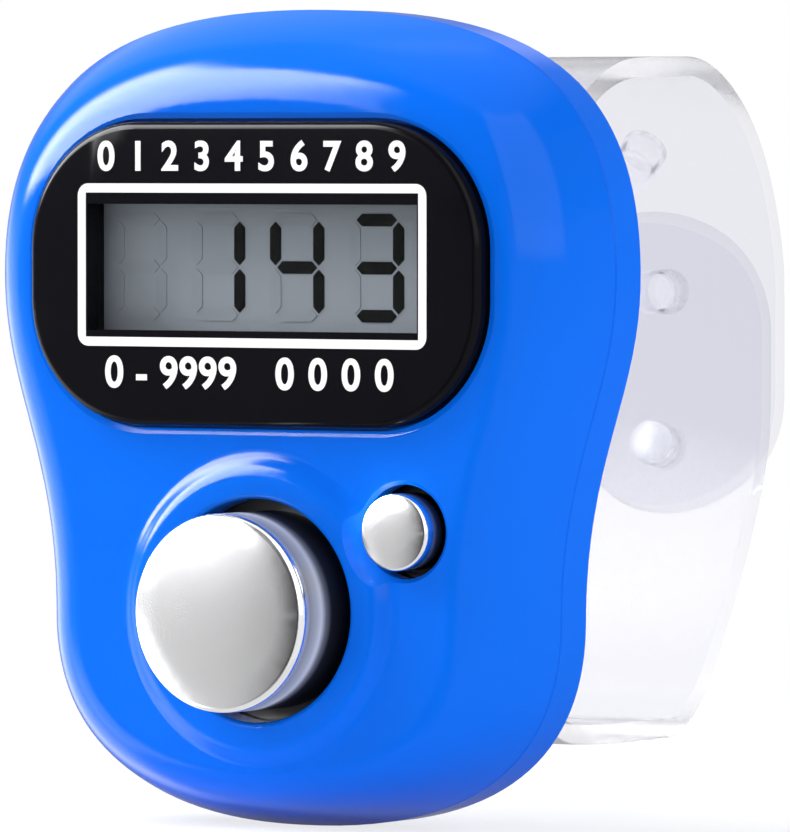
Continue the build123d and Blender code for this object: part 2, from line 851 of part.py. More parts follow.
# Button battery
with BuildPart() as coin_cell:
    with BuildSketch(face(cell_depth + cell_thickness)):
        with Locations((0, cell_height)):
            Circle(cell_radius)
    extrude(amount=cell_thickness)
    fillet(coin_cell.edges(), radius=cell_edge)
save(coin_cell, "coin_cell")

# Spring leaf between the board and the front of the battery
with BuildPart() as negative_contact:
    with BuildSketch(side_view):
        with BuildLine():
            half = contact_thickness / 2
            Polyline(
                (board_back + half, cell_height - contact_width),
                (board_back + half, cell_height - contact_width + contact_foot),
                (cell_depth - half - touch_gap, cell_height + contact_width / 2),
                (cell_depth - half - touch_gap, cell_height + contact_width),
            )
        trace(line_width=contact_thickness)
    extrude(amount=contact_width / 2, both=True)
save(negative_contact, "negative_contact")

# Leaf that stands on the board against the side of the battery
with BuildPart() as positive_contact:
    with BuildSketch(face(cell_depth + cell_thickness - cell_edge)):
        with Locations((cell_radius + touch_gap + contact_thickness / 2, cell_height)):
            Rectangle(contact_thickness, contact_width)
    extrude(amount=cell_depth + cell_thickness - cell_edge - board_back)
    with BuildSketch(face(board_back + contact_thickness)):
        with Locations((cell_radius + touch_gap + contact_foot / 2, cell_height)):
            Rectangle(contact_foot, contact_width)
    extrude(amount=contact_thickness)
save(positive_contact, "positive_contact")

# Battery door: disc with a coin slot, a plug and two bayonet lugs
with BuildPart() as battery_door:
    with BuildSketch(face(body_depth)):
        with Locations((0, cell_height)):
            Circle(door_radius)
    extrude(amount=door_thickness)
    with BuildSketch(face(door_depth)):
        with Locations((0, cell_height)):
            Circle(door_plug_radius)
    extrude(amount=door_depth - lug_depth)
    with BuildSketch(face(lug_depth + lug_thickness)):
        with Locations((0, cell_height)):
            Circle(lug_radius)
            Rectangle(2 * lug_radius, lug_width, mode=Mode.INTERSECT)
    extrude(amount=lug_thickness)
    with BuildSketch(face(body_depth)):
        with Locations((0, cell_height)):
            SlotOverall(coin_slot_length, coin_slot_width)
    extrude(amount=coin_slot_depth, mode=Mode.SUBTRACT)
save(battery_door, "battery_door")

# Case screws
with BuildPart() as case_screws:
    with BuildSketch(face(screw_head_depth)):
        with Locations(*screw_places):
            Circle(screw_radius)
    extrude(amount=screw_head_depth - screw_tip_depth)
    with BuildSketch(face(screw_head_depth)):
        with Locations(*screw_places):
            Circle(screw_head_radius)
    extrude(amount=-screw_head_thickness)
save(case_screws, "case_screws")

# Upper strap: leaves the back of the body, arches over the finger and runs down behind it
upper_path = strap_path(upper_points, upper_bends + [back_bend, low_bend + strap_step])
with BuildPart() as upper_strap:
    with BuildSketch(side_view):
        trace(upper_path.edges(), line_width=strap_thickness)
    extrude(amount=strap_width / 2, both=True)
    # The free end is round
    with BuildSketch(face(0)):
        with Locations((0, upper_tip_height + strap_width / 2)):
            Circle(strap_width / 2)
            Rectangle(strap_width, 2 * top_reach, align=(Align.CENTER, Align.MIN))
    extrude(amount=-2 * strap_back_depth, mode=Mode.INTERSECT)
    with BuildSketch(face(strap_head_depth + strap_head_thickness)):
        with Locations((0, upper_slot_height)):
            Rectangle(strap_head_width, strap_head_height)
    extrude(amount=strap_head_thickness)
    for distance in peg_distances:
        peg_length = strap_step + fit_gap
        with BuildSketch(peg_plane(distance)):
            Circle(peg_radius)
        extrude(amount=peg_length + peg_head_rise)
        with BuildSketch(peg_plane(distance).offset(peg_length)):
            Circle(peg_head_radius)
        extrude(amount=peg_head_rise)
save(upper_strap, "upper_strap")

# Lower strap: leaves the back of the body, passes under the finger and up inside the upper strap
lower_path = strap_path(lower_points, lower_bends + [low_bend, back_bend - strap_step])
with BuildPart() as lower_strap:
    with BuildSketch(side_view):
        trace(lower_path.edges(), line_width=strap_thickness)
    extrude(amount=strap_width / 2, both=True)
    # The free end is round
    with BuildSketch(face(0)):
        with Locations((0, lower_tip_height - strap_width / 2)):
            Circle(strap_width / 2)
            Rectangle(strap_width, 2 * bottom_reach, align=(Align.CENTER, Align.MAX))
    extrude(amount=-2 * strap_back_depth, mode=Mode.INTERSECT)
    with BuildSketch(face(strap_head_depth + strap_head_thickness)):
        with Locations((0, lower_slot_height)):
            Rectangle(strap_head_width, strap_head_height)
    extrude(amount=strap_head_thickness)
    for distance in peg_distances:
        if peg_plane(distance).origin.Z < lower_tip_height:
            with BuildSketch(peg_plane(distance)):
                Circle(peg_radius + fit_gap)
            extrude(amount=2 * strap_step, mode=Mode.SUBTRACT)
save(lower_strap, "lower_strap")
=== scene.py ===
import json
import math

import bpy
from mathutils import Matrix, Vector


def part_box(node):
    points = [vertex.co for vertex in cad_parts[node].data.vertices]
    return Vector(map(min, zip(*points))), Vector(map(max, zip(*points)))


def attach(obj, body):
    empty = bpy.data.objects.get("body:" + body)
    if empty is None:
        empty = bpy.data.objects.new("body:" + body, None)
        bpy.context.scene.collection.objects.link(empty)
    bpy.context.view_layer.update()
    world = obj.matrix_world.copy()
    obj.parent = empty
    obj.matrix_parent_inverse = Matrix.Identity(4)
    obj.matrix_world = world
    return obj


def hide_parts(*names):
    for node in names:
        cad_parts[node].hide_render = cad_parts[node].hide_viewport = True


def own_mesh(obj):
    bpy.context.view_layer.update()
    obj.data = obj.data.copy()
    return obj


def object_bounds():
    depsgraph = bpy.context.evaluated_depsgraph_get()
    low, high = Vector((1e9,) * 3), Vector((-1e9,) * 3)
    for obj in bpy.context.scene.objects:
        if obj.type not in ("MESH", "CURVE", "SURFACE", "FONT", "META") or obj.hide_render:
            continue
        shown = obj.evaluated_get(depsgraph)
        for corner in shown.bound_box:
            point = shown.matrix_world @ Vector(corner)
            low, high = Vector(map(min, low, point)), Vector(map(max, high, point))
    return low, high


mm = 0.001

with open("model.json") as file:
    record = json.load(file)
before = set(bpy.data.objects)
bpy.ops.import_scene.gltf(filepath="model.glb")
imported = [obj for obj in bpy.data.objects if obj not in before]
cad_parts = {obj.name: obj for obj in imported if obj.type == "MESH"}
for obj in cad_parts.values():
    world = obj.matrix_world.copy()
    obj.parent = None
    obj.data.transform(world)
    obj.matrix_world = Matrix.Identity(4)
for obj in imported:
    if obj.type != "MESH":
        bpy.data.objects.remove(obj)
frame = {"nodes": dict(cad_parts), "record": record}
cadNodes = frame["nodes"]
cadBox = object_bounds()
bpy.ops.object.select_all(action="DESELECT")
bpy.context.scene.view_settings.view_transform = "Standard"
print("frame loaded:", len(cadNodes), "nodes")


# camera, at the photo's angle

photoView = {
    "turn": 31.0,      # degrees to the right of the face
    "rise": 1.6,
    "distance": 465 * mm,
    "target": (6.15 * mm, -23.35 * mm, 0.13 * mm),
    "lens": 412.5,
    "nearest": 10 * mm,
}


def direction(turn, rise):
    turn = math.radians(turn)
    rise = math.radians(rise)
    return Vector((math.sin(turn) * math.cos(rise), -math.cos(turn) * math.cos(rise), math.sin(rise)))


def addCamera(view):
    away = direction(view["turn"], view["rise"])
    bpy.ops.object.camera_add(location=Vector(view["target"]) + away * view["distance"])
    camera = bpy.context.object
    camera.rotation_euler = away.to_track_quat("Z", "Y").to_euler()
    camera.data.lens = view["lens"]
    camera.data.clip_start = view["nearest"]
    bpy.context.scene.camera = camera


addCamera(photoView)
print("camera set")


# node helpers

mixA, mixB, mixOut = 6, 7, 2     # the colour sockets of a Mix node


def newGroup(name, inputs, outputs):
    group = bpy.data.node_groups.new(name, "ShaderNodeTree")
    for label, kind, value in inputs:
        socket = group.interface.new_socket(label, in_out="INPUT", socket_type=kind)
        socket.default_value = value
    for label, kind in outputs:
        group.interface.new_socket(label, in_out="OUTPUT", socket_type=kind)
    start = group.nodes.new("NodeGroupInput")
    end = group.nodes.new("NodeGroupOutput")
    return group, start, end


def addNode(tree, kind, **values):
    node = tree.nodes.new(kind)
    for label, value in values.items():
        setattr(node, label, value)
    return node


def newMaterial(name):
    material = bpy.data.materials.new(name)
    material.use_nodes = True
    tree = material.node_tree
    return material, tree, tree.nodes["Principled BSDF"]


def setShader(shader, values):
    for label, value in values.items():
        shader.inputs[label].default_value = value


def placeGroup(tree, group, values):
    node = tree.nodes.new("ShaderNodeGroup")
    node.node_tree = group
    for label, value in values.items():
        node.inputs[label].default_value = value
    return node


surfaceOutputs = [
    ("Colour", "NodeSocketColor"), ("Roughness", "NodeSocketFloat"), ("Height", "NodeSocketFloat"),
]


# one noise tints the surface, and another spreads its gloss about the middle and gives the relief
def joinSurface(group, start, end, tint, otherColour, grain):
    mix = addNode(group, "ShaderNodeMix", data_type="RGBA")
    centred = addNode(group, "ShaderNodeMath", operation="SUBTRACT")
    centred.inputs[1].default_value = 0.5
    spread = addNode(group, "ShaderNodeMath", operation="MULTIPLY_ADD")
    link = group.links.new
    link(tint.outputs["Fac"], mix.inputs["Factor"])
    link(start.outputs["Colour"], mix.inputs[mixA])
    link(start.outputs[otherColour], mix.inputs[mixB])
    link(grain.outputs["Fac"], centred.inputs[0])
    link(centred.outputs[0], spread.inputs[0])
    link(start.outputs["Roughness Spread"], spread.inputs[1])
    link(start.outputs["Roughness"], spread.inputs[2])
    link(mix.outputs[mixOut], end.inputs["Colour"])
    link(spread.outputs[0], end.inputs["Roughness"])
    link(grain.outputs["Fac"], end.inputs["Height"])


# moulded surface: cloudy colour, uneven gloss and a faint orange peel
def buildMouldedGroup():
    group, start, end = newGroup(
        "mouldedSurface",
        [
            ("Colour", "NodeSocketColor", (0.5, 0.5, 0.5, 1)),
            ("Cloud Colour", "NodeSocketColor", (0.4, 0.4, 0.4, 1)),
            ("Cloud Scale", "NodeSocketFloat", 90.0),
            ("Roughness", "NodeSocketFloat", 0.3),
            ("Roughness Spread", "NodeSocketFloat", 0.05),
            ("Grain Scale", "NodeSocketFloat", 2500.0),
        ],
        surfaceOutputs,
    )
    place = addNode(group, "ShaderNodeTexCoord")
    cloud = addNode(group, "ShaderNodeTexNoise")
    cloud.inputs["Detail"].default_value = 3
    grain = addNode(group, "ShaderNodeTexNoise")
    grain.inputs["Detail"].default_value = 2
    link = group.links.new
    link(place.outputs["Object"], cloud.inputs["Vector"])
    link(place.outputs["Object"], grain.inputs["Vector"])
    link(start.outputs["Cloud Scale"], cloud.inputs["Scale"])
    link(start.outputs["Grain Scale"], grain.inputs["Scale"])
    joinSurface(group, start, end, cloud, "Cloud Colour", grain)
    return group


# plated metal: hairlines along one direction that break up the gloss
def buildHairlineGroup():
    group, start, end = newGroup(
        "hairlines",
        [
            ("Colour", "NodeSocketColor", (0.7, 0.7, 0.7, 1)),
            ("Dull Colour", "NodeSocketColor", (0.6, 0.6, 0.6, 1)),
            ("Scale", "NodeSocketFloat", 800.0),
            ("Stretch", "NodeSocketVector", (1, 1, 12)),
            ("Roughness", "NodeSocketFloat", 0.2),
            ("Roughness Spread", "NodeSocketFloat", 0.1),
        ],
        surfaceOutputs,
    )
    place = addNode(group, "ShaderNodeTexCoord")
    stretch = addNode(group, "ShaderNodeVectorMath", operation="MULTIPLY")
    lines = addNode(group, "ShaderNodeTexNoise")
    lines.inputs["Detail"].default_value = 4
    link = group.links.new
    link(place.outputs["Object"], stretch.inputs[0])
    link(start.outputs["Stretch"], stretch.inputs[1])
    link(stretch.outputs[0], lines.inputs["Vector"])
    link(start.outputs["Scale"], lines.inputs["Scale"])
    joinSurface(group, start, end, lines, "Dull Colour", lines)
    return group


mouldedSurface = buildMouldedGroup()
hairlines = buildHairlineGroup()


def addRelief(tree, surface, bump, shader):
    relief = addNode(tree, "ShaderNodeBump")
    relief.inputs["Strength"].default_value = bump["strength"]
    relief.inputs["Distance"].default_value = bump["depth"]
    tree.links.new(surface.outputs["Height"], relief.inputs["Height"])
    tree.links.new(relief.outputs["Normal"], shader.inputs["Normal"])


def coatWith(group, name, finish):
    material, tree, shader = newMaterial(name)
    setShader(shader, finish["shader"])
    surface = placeGroup(tree, group, finish["surface"])
    tree.links.new(surface.outputs["Colour"], shader.inputs["Base Color"])
    tree.links.new(surface.outputs["Roughness"], shader.inputs["Roughness"])
    addRelief(tree, surface, finish["bump"], shader)
    return material


# finishes

finishes = {}      # by material slot
ownFinish = {}     # by node, where one looks different from its slot

caseGloss = {
    "surface": {
        "Colour": (0.0015, 0.148, 0.83, 1),
        "Cloud Colour": (0.0015, 0.132, 0.77, 1),
        "Cloud Scale": 60.0,
        "Roughness": 0.10,
        "Roughness Spread": 0.03,
        "Grain Scale": 900.0,
    },
    "shader": {"Specular IOR Level": 0.1},
    "bump": {"strength": 0.03, "depth": 0.02 * mm},
}
finishes["case_gloss"] = coatWith(mouldedSurface, "caseGloss", caseGloss)

bezelBlack = {
    "surface": {
        "Colour": (0.0025, 0.0025, 0.004, 1),
        "Cloud Colour": (0.004, 0.004, 0.006, 1),
        "Cloud Scale": 120.0,
        "Roughness": 0.16,
        "Roughness Spread": 0.05,
        "Grain Scale": 1500.0,
    },
    "shader": {"Specular IOR Level": 0.07},
    "bump": {"strength": 0.05, "depth": 0.01 * mm},
}
finishes["bezel_black"] = coatWith(mouldedSurface, "bezelBlack", bezelBlack)

whitePrint = {
    "surface": {
        "Colour": (0.94, 0.94, 0.94, 1),
        "Cloud Colour": (0.88, 0.88, 0.89, 1),
        "Cloud Scale": 900.0,
        "Roughness": 0.5,
        "Roughness Spread": 0.1,
        "Grain Scale": 9000.0,
    },
    "shader": {"Specular IOR Level": 0.3},
    "bump": {"strength": 0.2, "depth": 0.01 * mm},
}
finishes["white_print"] = coatWith(mouldedSurface, "whitePrint", whitePrint)

# the display's panes are glass to the eye and let the lamps' light straight in
def letLightIn(material):
    tree = material.node_tree
    path = addNode(tree, "ShaderNodeLightPath")
    stop = addNode(tree, "ShaderNodeMapRange")
    stop.inputs["To Min"].default_value = 1.0
    stop.inputs["To Max"].default_value = 0.0
    tree.links.new(path.outputs["Is Shadow Ray"], stop.inputs["Value"])
    tree.links.new(stop.outputs["Result"], tree.nodes["Principled BSDF"].inputs["Alpha"])
    return material


clearPane = {
    "surface": {
        "Colour": (0.97, 0.98, 0.98, 1),
        "Cloud Colour": (0.95, 0.97, 0.97, 1),
        "Cloud Scale": 80.0,
        "Roughness": 0.006,
        "Roughness Spread": 0.01,
        "Grain Scale": 1200.0,
    },
    "shader": {"Transmission Weight": 1.0, "IOR": 1.12},
    "bump": {"strength": 0.01, "depth": 0.01 * mm},
}
finishes["clear_pane"] = letLightIn(coatWith(mouldedSurface, "clearPane", clearPane))

lcdGlass = {
    "surface": {
        "Colour": (0.96, 0.98, 0.98, 1),
        "Cloud Colour": (0.94, 0.97, 0.97, 1),
        "Cloud Scale": 150.0,
        "Roughness": 0.006,
        "Roughness Spread": 0.01,
        "Grain Scale": 2500.0,
    },
    "shader": {"Transmission Weight": 1.0, "IOR": 1.06},
    "bump": {"strength": 0.01, "depth": 0.01 * mm},
}
finishes["lcd_glass"] = letLightIn(coatWith(mouldedSurface, "lcdGlass", lcdGlass))

# the rear glass carries the silvered sheet on its back, so it shows as the display's grey
silveredGlass = {
    "surface": {
        "Colour": (0.375, 0.387, 0.438, 1),
        "Cloud Colour": (0.355, 0.367, 0.416, 1),
        "Cloud Scale": 160.0,
        "Roughness": 0.35,
        "Roughness Spread": 0.1,
        "Grain Scale": 9000.0,
    },
    "shader": {"Specular IOR Level": 0.15},
    "bump": {"strength": 0.1, "depth": 0.01 * mm},
}
ownFinish["lcd_rear_glass"] = coatWith(mouldedSurface, "silveredGlass", silveredGlass)

segmentDark = {
    "surface": {
        "Colour": (0.003, 0.0035, 0.004, 1),
        "Cloud Colour": (0.005, 0.0055, 0.006, 1),
        "Cloud Scale": 400.0,
        "Roughness": 0.5,
        "Roughness Spread": 0.1,
        "Grain Scale": 6000.0,
    },
    "shader": {"Specular IOR Level": 0.05},
    "bump": {"strength": 0.1, "depth": 0.005 * mm},
}
finishes["segment_dark"] = coatWith(mouldedSurface, "segmentDark", segmentDark)

segmentFaint = {
    "surface": {
        "Colour": (0.362, 0.374, 0.423, 1),
        "Cloud Colour": (0.343, 0.355, 0.402, 1),
        "Cloud Scale": 400.0,
        "Roughness": 0.5,
        "Roughness Spread": 0.1,
        "Grain Scale": 6000.0,
    },
    "shader": {"Specular IOR Level": 0.1},
    "bump": {"strength": 0.1, "depth": 0.005 * mm},
}
finishes["segment_faint"] = coatWith(mouldedSurface, "segmentFaint", segmentFaint)

reflectorGrey = {
    "surface": {
        "Colour": (0.375, 0.387, 0.438, 1),
        "Cloud Colour": (0.355, 0.367, 0.416, 1),
        "Cloud Scale": 200.0,
        "Roughness": 0.6,
        "Roughness Spread": 0.1,
        "Grain Scale": 12000.0,
    },
    "shader": {"Specular IOR Level": 0.2},
    "bump": {"strength": 0.2, "depth": 0.01 * mm},
}
finishes["reflector_grey"] = coatWith(mouldedSurface, "reflectorGrey", reflectorGrey)

blackPlastic = {
    "surface": {
        "Colour": (0.018, 0.018, 0.020, 1),
        "Cloud Colour": (0.025, 0.025, 0.027, 1),
        "Cloud Scale": 200.0,
        "Roughness": 0.5,
        "Roughness Spread": 0.15,
        "Grain Scale": 4000.0,
    },
    "shader": {"Specular IOR Level": 0.4},
    "bump": {"strength": 0.2, "depth": 0.02 * mm},
}
finishes["black_plastic"] = coatWith(mouldedSurface, "blackPlastic", blackPlastic)

connectorRubber = {
    "surface": {
        "Colour": (0.60, 0.48, 0.44, 1),
        "Dull Colour": (0.05, 0.05, 0.05, 1),
        "Scale": 1600.0,
        "Stretch": (6, 0.2, 0.2),
        "Roughness": 0.6,
        "Roughness Spread": 0.1,
    },
    "shader": {},
    "bump": {"strength": 0.1, "depth": 0.02 * mm},
}
finishes["connector_rubber"] = coatWith(hairlines, "connectorRubber", connectorRubber)

boardGreen = {
    "surface": {
        "Colour": (0.012, 0.12, 0.055, 1),
        "Cloud Colour": (0.020, 0.17, 0.075, 1),
        "Cloud Scale": 500.0,
        "Roughness": 0.35,
        "Roughness Spread": 0.1,
        "Grain Scale": 3500.0,
    },
    "shader": {},
    "bump": {"strength": 0.3, "depth": 0.02 * mm},
}
finishes["board_green"] = coatWith(mouldedSurface, "boardGreen", boardGreen)

resinBlack = {
    "surface": {
        "Colour": (0.010, 0.010, 0.011, 1),
        "Cloud Colour": (0.016, 0.015, 0.014, 1),
        "Cloud Scale": 500.0,
        "Roughness": 0.2,
        "Roughness Spread": 0.1,
        "Grain Scale": 2000.0,
    },
    "shader": {},
    "bump": {"strength": 0.3, "depth": 0.05 * mm},
}
finishes["resin_black"] = coatWith(mouldedSurface, "resinBlack", resinBlack)

componentBody = {
    "surface": {
        "Colour": (0.32, 0.24, 0.16, 1),
        "Cloud Colour": (0.26, 0.19, 0.13, 1),
        "Cloud Scale": 900.0,
        "Roughness": 0.5,
        "Roughness Spread": 0.1,
        "Grain Scale": 6000.0,
    },
    "shader": {},
    "bump": {"strength": 0.2, "depth": 0.02 * mm},
}
finishes["component_body"] = coatWith(mouldedSurface, "componentBody", componentBody)

# chrome caps: bright on the face and rim; down the side that goes into the hole the colour is painted
# shade, with a painted reflection streak on the count cap
buttonChrome = {
    "surface": {
        "Colour": (0.90, 0.90, 0.91, 1),
        "Dull Colour": (0.86, 0.86, 0.88, 1),
        "Scale": 900.0,
        "Stretch": (1, 1, 1),
        "Roughness": 0.17,
        "Roughness Spread": 0.04,
    },
    "shader": {"Metallic": 1.0},
    "bump": {"strength": 0.02, "depth": 0.01 * mm},
    "rimShare": 0.08,       # of the side, over which the face's polish gives way
    "sides": {
        # start and end are behind the front of the cap, and the tones, painted shade and a painted
        # reflection, go from one to the other
        "count_button": {
            "start": 0.55 * mm,
            "end": 3.9 * mm,
            "roughness": 0.30,
            "metal": 0.25,
            "tones": [
                (0.0, (0.46, 0.46, 0.45, 1)),
                (0.12, (0.30, 0.30, 0.29, 1)),
                (0.32, (0.50, 0.50, 0.47, 1)),
                # painted reflection streak down the count cap's side
                (0.44, (0.74, 0.74, 0.68, 1)),
                (0.56, (0.20, 0.20, 0.19, 1)),
                # painted shade where the side sinks into the hole
                (0.72, (0.012, 0.012, 0.014, 1)),
            ],
        },
        "reset_button": {
            "start": 0.7 * mm,
            "end": 1.7 * mm,
            "roughness": 0.20,
            "metal": 0.9,
            "tones": [
                (0.0, (0.88, 0.88, 0.89, 1)),
                # painted shade down the side and on the flange in the hole
                (0.4, (0.20, 0.20, 0.21, 1)),
                (1.0, (0.010, 0.010, 0.012, 1)),
            ],
        },
    },
}
finishes["button_chrome"] = coatWith(hairlines, "buttonChrome", buttonChrome)


# paints shade down each cap's side into its hole, with the count cap's painted reflection streak, from
# the tones above
def paintSideShade(capNode):
    sideLook = buttonChrome["sides"][capNode]
    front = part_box(capNode)[0].y
    material, tree, shader = newMaterial(capNode + "_chrome")
    polish = placeGroup(tree, hairlines, buttonChrome["surface"])
    place = addNode(tree, "ShaderNodeTexCoord")
    split = addNode(tree, "ShaderNodeSeparateXYZ")
    down = addNode(tree, "ShaderNodeMapRange")
    down.inputs["From Min"].default_value = front + sideLook["start"]
    down.inputs["From Max"].default_value = front + sideLook["end"]
    tones = addNode(tree, "ShaderNodeValToRGB")
    while len(tones.color_ramp.elements) < len(sideLook["tones"]):
        tones.color_ramp.elements.new(1.0)
    for stop, (share, grey) in zip(tones.color_ramp.elements, sideLook["tones"]):
        stop.position = share
        stop.color = grey
    side = addNode(tree, "ShaderNodeMapRange")
    side.inputs["From Max"].default_value = buttonChrome["rimShare"]
    colour = addNode(tree, "ShaderNodeMix", data_type="RGBA")
    rough = addNode(tree, "ShaderNodeMix", data_type="FLOAT")
    rough.inputs["B"].default_value = sideLook["roughness"]
    metal = addNode(tree, "ShaderNodeMapRange")
    metal.inputs["To Min"].default_value = buttonChrome["shader"]["Metallic"]
    metal.inputs["To Max"].default_value = sideLook["metal"]
    link = tree.links.new
    link(place.outputs["Object"], split.inputs[0])
    link(split.outputs["Y"], down.inputs["Value"])
    link(down.outputs["Result"], tones.inputs["Fac"])
    link(down.outputs["Result"], side.inputs["Value"])
    link(side.outputs["Result"], colour.inputs["Factor"])
    link(polish.outputs["Colour"], colour.inputs[mixA])
    link(tones.outputs["Color"], colour.inputs[mixB])
    link(colour.outputs[mixOut], shader.inputs["Base Color"])
    link(side.outputs["Result"], rough.inputs["Factor"])
    link(polish.outputs["Roughness"], rough.inputs["A"])
    link(rough.outputs["Result"], shader.inputs["Roughness"])
    link(side.outputs["Result"], metal.inputs["Value"])
    link(metal.outputs["Result"], shader.inputs["Metallic"])
    addRelief(tree, polish, buttonChrome["bump"], shader)
    return material


for capNode in buttonChrome["sides"]:
    ownFinish[capNode] = paintSideShade(capNode)

domeRubber = {
    "surface": {
        "Colour": (0.62, 0.62, 0.60, 1),
        "Cloud Colour": (0.56, 0.56, 0.54, 1),
        "Cloud Scale": 300.0,
        "Roughness": 0.6,
        "Roughness Spread": 0.1,
        "Grain Scale": 5000.0,
    },
    "shader": {"Subsurface Weight": 0.2, "Subsurface Radius": (0.5 * mm, 0.5 * mm, 0.5 * mm)},
    "bump": {"strength": 0.1, "depth": 0.02 * mm},
}
finishes["dome_rubber"] = coatWith(mouldedSurface, "domeRubber", domeRubber)

carbonPill = {
    "surface": {
        "Colour": (0.018, 0.018, 0.018, 1),
        "Cloud Colour": (0.030, 0.030, 0.030, 1),
        "Cloud Scale": 900.0,
        "Roughness": 0.7,
        "Roughness Spread": 0.15,
        "Grain Scale": 8000.0,
    },
    "shader": {"Specular IOR Level": 0.3},
    "bump": {"strength": 0.3, "depth": 0.02 * mm},
}
finishes["carbon_pill"] = coatWith(mouldedSurface, "carbonPill", carbonPill)

cellSteel = {
    "surface": {
        "Colour": (0.70, 0.70, 0.69, 1),
        "Dull Colour": (0.58, 0.58, 0.57, 1),
        "Scale": 700.0,
        "Stretch": (8, 1, 0.6),
        "Roughness": 0.3,
        "Roughness Spread": 0.2,
    },
    "shader": {"Metallic": 1.0},
    "bump": {"strength": 0.1, "depth": 0.01 * mm},
}
finishes["cell_steel"] = coatWith(hairlines, "cellSteel", cellSteel)

contactSteel = {
    "surface": {
        "Colour": (0.68, 0.66, 0.62, 1),
        "Dull Colour": (0.56, 0.54, 0.50, 1),
        "Scale": 900.0,
        "Stretch": (8, 1, 0.6),
        "Roughness": 0.28,
        "Roughness Spread": 0.2,
    },
    "shader": {"Metallic": 1.0},
    "bump": {"strength": 0.1, "depth": 0.01 * mm},
}
finishes["contact_steel"] = coatWith(hairlines, "contactSteel", contactSteel)

screwSteel = {
    "surface": {
        "Colour": (0.62, 0.62, 0.61, 1),
        "Dull Colour": (0.45, 0.45, 0.44, 1),
        "Scale": 1500.0,
        "Stretch": (1, 3, 1),
        "Roughness": 0.32,
        "Roughness Spread": 0.2,
    },
    "shader": {"Metallic": 1.0},
    "bump": {"strength": 0.1, "depth": 0.01 * mm},
}
finishes["screw_steel"] = coatWith(hairlines, "screwSteel", screwSteel)

# soft strap: the upper half is a slightly darker copy, painted shade; the cut edges are paler, a painted
# highlight; and the pegs scatter light
strapSoft = {
    "surface": {"Cloud Scale": 70.0, "Roughness": 0.22, "Roughness Spread": 0.08, "Grain Scale": 1800.0},
    "bump": {"strength": 0.08, "depth": 0.02 * mm},
    "clear": {"Transmission Weight": 1.0, "IOR": 1.13},
    "faint": {"Alpha": 0.12},
    "tones": {
        # colour, its clouds, which of the two shader settings
        # a darker copy for the upper half, painted shade
        "upper": ((0.83, 0.83, 0.885, 1), (0.815, 0.815, 0.87, 1), "clear"),
        "lower": ((0.85, 0.85, 0.90, 1), (0.835, 0.835, 0.89, 1), "clear"),
        # paler cut edges, a painted highlight
        "edge": ((0.93, 0.93, 0.955, 1), (0.92, 0.92, 0.945, 1), "clear"),
        "peg": ((0.93, 0.93, 0.96, 1), (0.91, 0.91, 0.95, 1), "faint"),
    },
}
strapFinish = {}
for tone, (colour, cloudColour, shaderKind) in strapSoft["tones"].items():
    strapFinish[tone] = coatWith(mouldedSurface, tone + "Strap", {
        "surface": dict(strapSoft["surface"], **{"Colour": colour, "Cloud Colour": cloudColour}),
        "shader": strapSoft[shaderKind],
        "bump": strapSoft["bump"],
    })
finishes["strap_soft"] = strapFinish["upper"]
print("finishes made:", len(finishes))


# every CAD node takes the finish of its slot
slotOf = {part["node"]: part["material_slot"] for part in frame["record"]["subparts"]}
bodyOf = {
    name: body for body, names in frame["record"]["behaviour"]["bodies"].items() for name in names
}
for name, node in cadNodes.items():
    node.data.materials.clear()
    node.data.materials.append(ownFinish.get(name, finishes[slotOf[name]]))


def activate(piece):
    bpy.ops.object.select_all(action="DESELECT")
    piece.select_set(True)
    bpy.context.view_layer.objects.active = piece


# smooth copies of the nodes that show

skins = {
    "merge": 0.002 * mm,
    "sharpAngle": 28.0,
    "ownAngle": {"front_shell": 11.0},     # keeps the edge round the bezel crisp
    "shown": [
        "front_shell", "rear_cover", "display_bezel", "printed_frame",
        "count_button", "reset_button", "battery_door", "case_screws",
    ],
}


def skinNode(name):
    skin = bpy.data.objects.new(name + "_skin", cadNodes[name].data.copy())
    bpy.context.scene.collection.objects.link(skin)
    activate(skin)
    bpy.ops.object.mode_set(mode="EDIT")
    bpy.ops.mesh.select_all(action="SELECT")
    bpy.ops.mesh.remove_doubles(threshold=skins["merge"])
    bpy.ops.object.mode_set(mode="OBJECT")
    if skin.data.has_custom_normals:
        bpy.ops.mesh.customdata_custom_splitnormals_clear()
    sharpAngle = skins["ownAngle"].get(name, skins["sharpAngle"])
    bpy.ops.object.shade_smooth_by_angle(angle=math.radians(sharpAngle))
    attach(skin, bodyOf[name])
    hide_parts(name)
    return skin


skinOf = {name: skinNode(name) for name in skins["shown"]}
print("skins made:", len(skinOf))


# smooth skins of the return domes, each with a mesh of its own

domes = {"count_dome": "count_press", "reset_dome": "reset_press"}


def flattenDome(name):
    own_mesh(skinNode(name))


for name, joint in domes.items():
    flattenDome(name)
print("domes made:", len(domes))


def applyModifier(piece, kind, **values):
    activate(piece)
    modifier = piece.modifiers.new(kind.lower(), kind)
    for label, value in values.items():
        setattr(modifier, label, value)
    bpy.ops.object.modifier_apply(modifier=modifier.name)


def applyPlace(piece, place, axis):
    piece.rotation_euler = axis.to_track_quat("Z", "Y").to_euler()
    piece.location = place
    activate(piece)
    bpy.ops.object.transform_apply(location=True, rotation=True, scale=True)


def carve(piece, tool, operation):
    applyModifier(piece, "BOOLEAN", object=tool, operation=operation, solver="EXACT")
    bpy.data.objects.remove(tool)


def tidyMesh(piece, angle):
    activate(piece)
    bpy.ops.object.mode_set(mode="EDIT")
    bpy.ops.mesh.select_all(action="SELECT")
    bpy.ops.mesh.normals_make_consistent(inside=False)
    bpy.ops.object.mode_set(mode="OBJECT")
    bpy.ops.object.shade_smooth_by_angle(angle=math.radians(angle))


# cross recesses in the heads of the case screws

